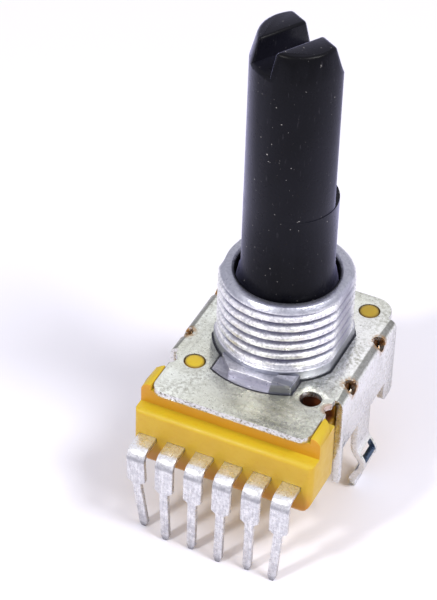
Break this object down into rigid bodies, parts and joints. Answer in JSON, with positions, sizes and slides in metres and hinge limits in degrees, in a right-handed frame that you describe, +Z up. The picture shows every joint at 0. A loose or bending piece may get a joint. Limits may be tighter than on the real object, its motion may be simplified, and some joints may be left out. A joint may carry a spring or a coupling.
{
  "type": "rotary potentiometer",
  "caption": "Dual rotary potentiometer with a slotted D-cut plastic shaft, threaded bushing, snap-in steel bracket and a row of bent circuit board leads",
  "frame": {"origin": "on the shaft's axis, at the top face of the bracket's plate, where the plate meets a panel's back", "axes": "X along the row of leads, Y away from the leads, Z up the shaft"},
  "size_m": [0.0134, 0.0175, 0.0337],
  "materials": {
    "tinned_steel": "tin-plated sheet steel, dull with mottled reflections",
    "cast_zinc": "die-cast zinc, bright turned thread crests",
    "shaft_plastic": "charcoal moulded plastic with a satin surface and light scuffs",
    "base_plastic": "amber yellow moulded plastic, satin",
    "tinned_lead": "tinned strip, mottled and slightly dulled",
    "laminate": "brown paper laminate",
    "carbon_print": "printed carbon resistance film",
    "silver_print": "printed silver film",
    "rotor_plastic": "off-white moulded plastic",
    "spring_bronze": "bare phosphor bronze strip",
    "spring_steel": "bare spring steel"
  },
  "bodies": {
    "housing": {"bracket": "tinned_steel", "bushing": "cast_zinc", "base": "base_plastic", "terminal_1": "tinned_lead", "terminal_2": "tinned_lead", "terminal_3": "tinned_lead", "terminal_4": "tinned_lead", "terminal_5": "tinned_lead", "terminal_6": "tinned_lead", "contact_rivets": "tinned_lead", "upper_wafer": "laminate", "lower_wafer": "laminate", "upper_resistive_track": "carbon_print", "lower_resistive_track": "carbon_print", "upper_collector_ring": "silver_print", "lower_collector_ring": "silver_print", "thrust_washer": "rotor_plastic"},
    "rotor_shaft": {"shaft": "shaft_plastic", "rotor": "rotor_plastic", "upper_wiper": "spring_bronze", "lower_wiper": "spring_bronze", "retaining_ring": "spring_steel"}
  },
  "joints": [
    {"name": "shaft_turn", "type": "hinge", "parent": "housing", "child": "rotor_shaft", "pos_m": [0, 0, 0], "axis": [0, 0, 1], "range_deg": [-119, 181]}
  ]
}
